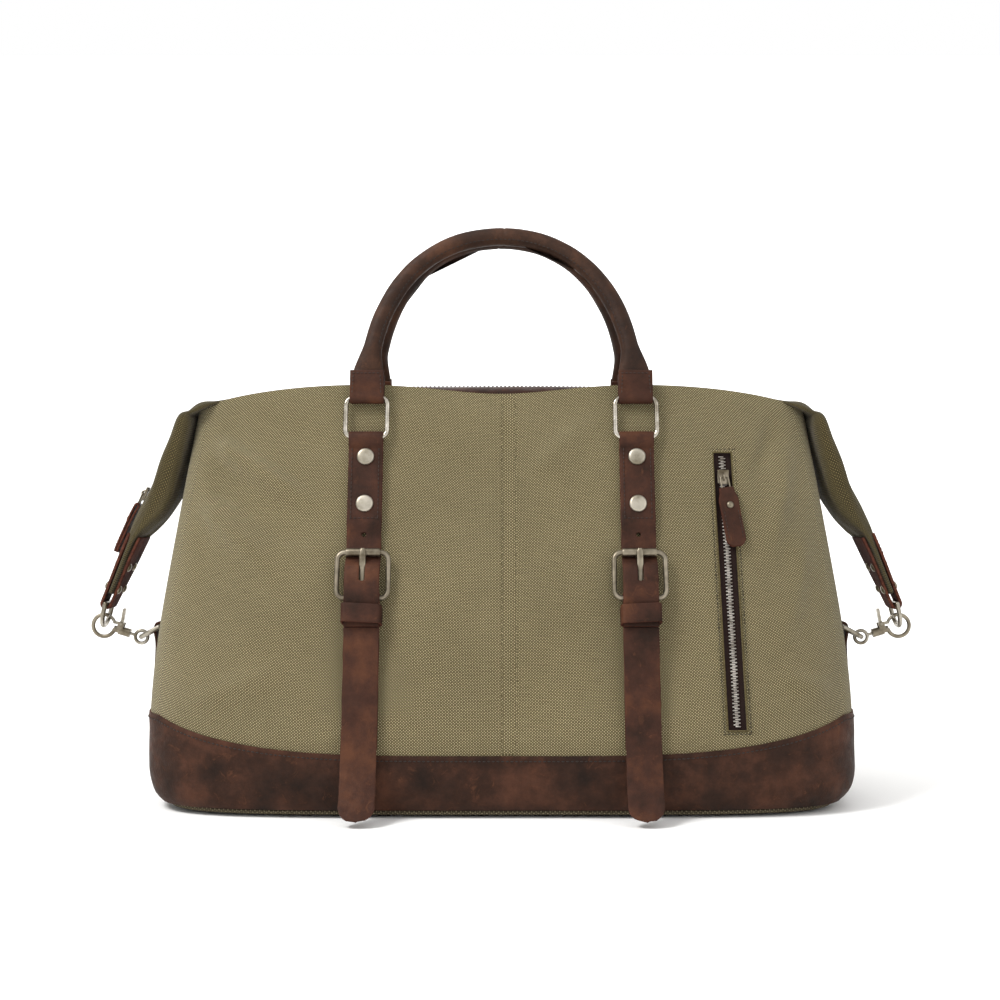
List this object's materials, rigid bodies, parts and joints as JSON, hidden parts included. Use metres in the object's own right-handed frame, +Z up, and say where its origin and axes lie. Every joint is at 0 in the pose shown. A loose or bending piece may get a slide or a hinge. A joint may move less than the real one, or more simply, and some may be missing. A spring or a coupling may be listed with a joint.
{
  "type": "duffel bag",
  "caption": "Weekender duffel bag in canvas with a leather base band, rolled handles on rings, buckled front straps, a zip pocket and clipped side ears.",
  "frame": {"origin": "on the floor, under the middle of the bag", "axes": "+X along the length, towards the end with the zip pocket; -Y to the front, where the straps are; +Z up"},
  "size_m": [0.677, 0.2679, 0.4641],
  "materials": {
    "canvas": "matte",
    "leather": "satin",
    "nickel": "satin",
    "bright_nickel": "satin",
    "zip_metal": "satin",
    "zip_tape": "matte",
    "lining_cloth": "matte",
    "board": "matte",
    "base_cloth": "matte"
  },
  "bodies": {
    "bag": {"front_canvas": "canvas", "rear_canvas": "canvas", "gusset_left": "canvas", "gusset_right": "canvas", "base_band": "leather", "bottom_panel": "base_cloth", "base_piping": "canvas", "bottom_board": "board", "lining": "lining_cloth", "pocket_bag": "lining_cloth", "pocket_zip_tape": "zip_tape", "pocket_zip_teeth": "zip_metal", "upper_straps": "leather", "strap_rivets": "bright_nickel", "lower_strap_left": "leather", "lower_strap_right": "leather", "buckle_frame_left": "nickel", "buckle_frame_right": "nickel", "rear_straps": "leather", "ear_zips": "zip_tape", "ear_canvas_left": "canvas", "ear_canvas_right": "canvas", "ear_tab_left": "leather", "ear_tab_right": "leather", "ear_rivets": "nickel", "gusset_tabs": "leather"},
    "pocket_slider": {"pocket_slider": "nickel"},
    "pocket_pull": {"pocket_pull": "leather"},
    "main_zip_slider": {"main_zip_slider": "nickel"},
    "main_zip_pull": {"main_zip_pull": "leather"},
    "roller_left": {"roller_left": "bright_nickel"},
    "prong_left": {"prong_left": "nickel"},
    "keeper_left": {"keeper_left": "leather"},
    "strap_tail_left": {"strap_tail_left": "leather"},
    "ear_ring_left": {"ear_ring_left": "nickel"},
    "gusset_ring_left": {"gusset_ring_left": "nickel"},
    "swivel_left": {"swivel_left": "nickel"},
    "snap_body_left": {"snap_body_left": "nickel"},
    "snap_trigger_left": {"snap_trigger_left": "nickel"},
    "roller_right": {"roller_right": "bright_nickel"},
    "prong_right": {"prong_right": "nickel"},
    "keeper_right": {"keeper_right": "leather"},
    "strap_tail_right": {"strap_tail_right": "leather"},
    "ear_ring_right": {"ear_ring_right": "nickel"},
    "gusset_ring_right": {"gusset_ring_right": "nickel"},
    "swivel_right": {"swivel_right": "nickel"},
    "snap_body_right": {"snap_body_right": "nickel"},
    "snap_trigger_right": {"snap_trigger_right": "nickel"},
    "front_rings": {"front_rings": "nickel"},
    "front_handle": {"front_handle": "leather", "handle_tabs_front": "leather", "handle_core_front": "lining_cloth"},
    "mouth_front": {"mouth_facing_front": "leather", "main_zip_front": "zip_tape"},
    "rear_rings": {"rear_rings": "nickel"},
    "rear_handle": {"rear_handle": "leather", "handle_tabs_rear": "leather", "handle_core_rear": "lining_cloth"},
    "mouth_rear": {"mouth_facing_rear": "leather", "main_zip_rear": "zip_tape"}
  },
  "joints": [
    {"name": "pocket_zip_run", "type": "slide", "parent": "bag", "child": "pocket_slider", "axis": [0.017, -0.271, -0.9624], "range_m": [0, 0.185]},
    {"name": "pocket_pull_swing", "type": "hinge", "parent": "pocket_slider", "child": "pocket_pull", "pos_m": [0.17564, -0.05961, 0.25951], "axis": [-0.998, -0.0628, 0], "range_deg": [0, 100]},
    {"name": "roller_left_spin", "type": "hinge", "parent": "bag", "child": "roller_left", "pos_m": [-0.107, -0.08308, 0.20037], "axis": [1, 0, 0], "continuous": true},
    {"name": "prong_left_rock", "type": "hinge", "parent": "bag", "child": "prong_left", "pos_m": [-0.107, -0.09286, 0.16573], "axis": [1, 0, 0], "range_deg": [0, 3]},
    {"name": "keeper_left_slide", "type": "slide", "parent": "bag", "child": "keeper_left", "axis": [0, 0.2715, 0.9624], "range_m": [-0.004, 0.002]},
    {"name": "strap_tail_left_swing", "type": "hinge", "parent": "bag", "child": "strap_tail_left", "pos_m": [-0.107, -0.10132, 0.14089], "axis": [-1, 0, 0], "range_deg": [0, 60]},
    {"name": "roller_right_spin", "type": "hinge", "parent": "bag", "child": "roller_right", "pos_m": [0.107, -0.08308, 0.20037], "axis": [1, 0, 0], "continuous": true},
    {"name": "prong_right_rock", "type": "hinge", "parent": "bag", "child": "prong_right", "pos_m": [0.107, -0.09286, 0.16573], "axis": [1, 0, 0], "range_deg": [0, 3]},
    {"name": "keeper_right_slide", "type": "slide", "parent": "bag", "child": "keeper_right", "axis": [0, 0.2715, 0.9624], "range_m": [-0.004, 0.002]},
    {"name": "strap_tail_right_swing", "type": "hinge", "parent": "bag", "child": "strap_tail_right", "pos_m": [0.107, -0.10132, 0.14089], "axis": [-1, 0, 0], "range_deg": [0, 60]},
    {"name": "front_rings_swing", "type": "hinge", "parent": "bag", "child": "front_rings", "pos_m": [0, -0.05555, 0.29059], "axis": [1, 0, 0], "range_deg": [0, 40]},
    {"name": "front_handle_swing", "type": "hinge", "parent": "front_rings", "child": "front_handle", "pos_m": [0, -0.04659, 0.32235], "axis": [1, 0, 0], "range_deg": [0, 100]},
    {"name": "mouth_front_open", "type": "hinge", "parent": "bag", "child": "mouth_front", "pos_m": [0, -0.039, 0.336], "axis": [1, 0, 0], "range_deg": [0, 60]},
    {"name": "rear_rings_swing", "type": "hinge", "parent": "bag", "child": "rear_rings", "pos_m": [0, 0.05555, 0.29059], "axis": [-1, 0, 0], "range_deg": [0, 40]},
    {"name": "rear_handle_swing", "type": "hinge", "parent": "rear_rings", "child": "rear_handle", "pos_m": [0, 0.04659, 0.32235], "axis": [-1, 0, 0], "range_deg": [0, 100]},
    {"name": "mouth_rear_open", "type": "hinge", "parent": "bag", "child": "mouth_rear", "pos_m": [0, 0.039, 0.336], "axis": [-1, 0, 0], "range_deg": [0, 60]},
    {"name": "ear_ring_left_swing", "type": "hinge", "parent": "bag", "child": "ear_ring_left", "pos_m": [-0.32399, 0, 0.15601], "axis": [0, 1, 0], "range_deg": [-3, 3]},
    {"name": "gusset_ring_left_swing", "type": "hinge", "parent": "bag", "child": "gusset_ring_left", "pos_m": [-0.2803, 0, 0.137], "axis": [0, 1, 0], "range_deg": [-2, 2]},
    {"name": "swivel_left_tilt", "type": "hinge", "parent": "gusset_ring_left", "child": "swivel_left", "pos_m": [-0.29708, 0, 0.12808], "axis": [0, 1, 0], "range_deg": [-1.5, 1.5]},
    {"name": "snap_left_turn", "type": "hinge", "parent": "swivel_left", "child": "snap_body_left", "pos_m": [-0.29708, 0, 0.12808], "axis": [0.9571, 0, -0.2899], "range_deg": [-4, 4]},
    {"name": "snap_trigger_left_press", "type": "hinge", "parent": "snap_body_left", "child": "snap_trigger_left", "pos_m": [-0.31336, 0, 0.13865], "axis": [0, -1, 0], "range_deg": [0, 10], "stiffness_Nm_per_rad": 0.02, "springref_deg": -5.73},
    {"name": "ear_ring_right_swing", "type": "hinge", "parent": "bag", "child": "ear_ring_right", "pos_m": [0.32399, 0, 0.15601], "axis": [0, 1, 0], "range_deg": [-3, 3]},
    {"name": "gusset_ring_right_swing", "type": "hinge", "parent": "bag", "child": "gusset_ring_right", "pos_m": [0.2803, 0, 0.137], "axis": [0, 1, 0], "range_deg": [-2, 2]},
    {"name": "swivel_right_tilt", "type": "hinge", "parent": "gusset_ring_right", "child": "swivel_right", "pos_m": [0.29708, 0, 0.12808], "axis": [0, 1, 0], "range_deg": [-1.5, 1.5]},
    {"name": "snap_right_turn", "type": "hinge", "parent": "swivel_right", "child": "snap_body_right", "pos_m": [0.29708, 0, 0.12808], "axis": [-0.9571, 0, -0.2899], "range_deg": [-4, 4]},
    {"name": "snap_trigger_right_press", "type": "hinge", "parent": "snap_body_right", "child": "snap_trigger_right", "pos_m": [0.31336, 0, 0.13865], "axis": [0, 1, 0], "range_deg": [0, 10], "stiffness_Nm_per_rad": 0.02, "springref_deg": -5.73},
    {"name": "main_zip_run", "type": "slide", "parent": "bag", "child": "main_zip_slider", "axis": [0.4083, 0, 0.9128], "range_m": [-0.022, 0.045]},
    {"name": "main_zip_pull_swing", "type": "hinge", "parent": "main_zip_slider", "child": "main_zip_pull", "pos_m": [-0.2954, 0, 0.24675], "axis": [0, 1, 0], "range_deg": [0, 90]}
  ]
}
